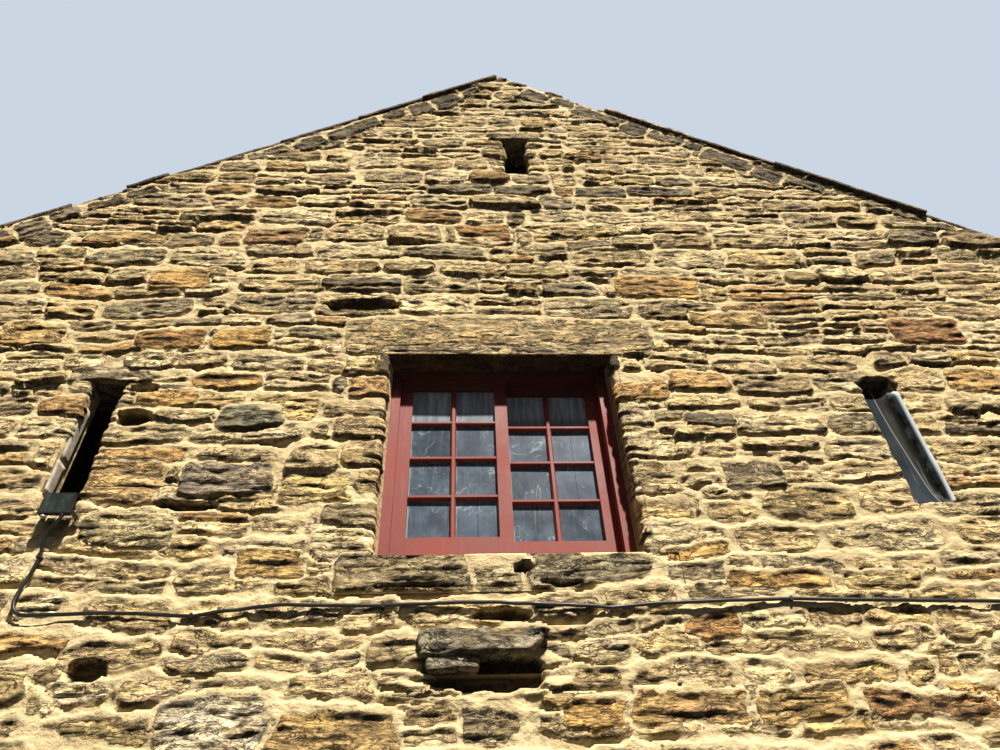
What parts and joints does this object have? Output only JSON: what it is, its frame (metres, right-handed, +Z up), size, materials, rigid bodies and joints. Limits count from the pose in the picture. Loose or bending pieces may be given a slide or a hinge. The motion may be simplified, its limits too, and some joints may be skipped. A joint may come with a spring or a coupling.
{
  "type": "stone watermill building",
  "caption": "Gabled rubble-stone mill building with an upper floor and a loft, a stone slate roof, sliding sash windows, slits, a vent and a wall floodlight.",
  "frame": {"origin": "centre of the walls' footprint at ground level", "axes": "+Z up, -Y out of the pictured gable, +Y along the ridge, +X to the right of someone who faces that gable"},
  "size_m": [7.9158, 9.733, 8.1224],
  "materials": {
    "rubble": "coursed sandstone rubble in lime mortar",
    "dressed_stone": "rough dressed sandstone",
    "dark_stone": "weathered dark sandstone",
    "flags": "worn flagstones",
    "slates": "riven stone slates",
    "old_oak": "rough sawn oak",
    "pine": "sawn softwood",
    "red_paint": "faded red paint on wood",
    "old_glass": "dusty window glass",
    "black_metal": "black powder coat",
    "lens": "dark flat glass",
    "cable_rubber": "weathered rubber",
    "iron": "black painted iron"
  },
  "bodies": {
    "root": {"front_gable_wall": "rubble", "back_gable_wall": "rubble", "left_side_wall": "rubble", "right_side_wall": "rubble", "front_window_lintel": "dressed_stone", "front_window_sill": "dressed_stone", "front_head_stones": "dressed_stone", "back_dressings": "dressed_stone", "left_dressings": "dressed_stone", "right_dressings": "dressed_stone", "door_threshold": "dressed_stone", "corbel_stone": "dark_stone", "ground_floor": "flags", "left_roof_slates": "slates", "right_roof_slates": "slates", "ridge_stones": "slates", "floor_beams": "old_oak", "roof_trusses": "old_oak", "purlins": "old_oak", "ridge_beam": "old_oak", "timber_lintels": "old_oak", "floor_joists": "pine", "upper_floor": "pine", "wall_plates": "pine", "rafters": "pine", "front_window_frame": "red_paint", "front_window_left_sash": "red_paint", "front_window_right_sash": "red_paint", "back_window_frame": "red_paint", "back_window_sashes": "red_paint", "left_window_frames": "red_paint", "left_window_sashes": "red_paint", "right_window_frames": "red_paint", "right_window_sashes": "red_paint", "door_frame": "red_paint", "door_leaf": "red_paint", "front_window_left_glass": "old_glass", "front_window_right_glass": "old_glass", "back_window_glass": "old_glass", "left_window_glass": "old_glass", "right_window_glass": "old_glass", "right_slit_glass": "old_glass", "floodlight_housing": "black_metal", "floodlight_bracket": "black_metal", "floodlight_glass": "lens", "floodlight_cable": "cable_rubber", "cable_clips": "cable_rubber", "door_ironwork": "iron"}
  },
  "joints": []
}
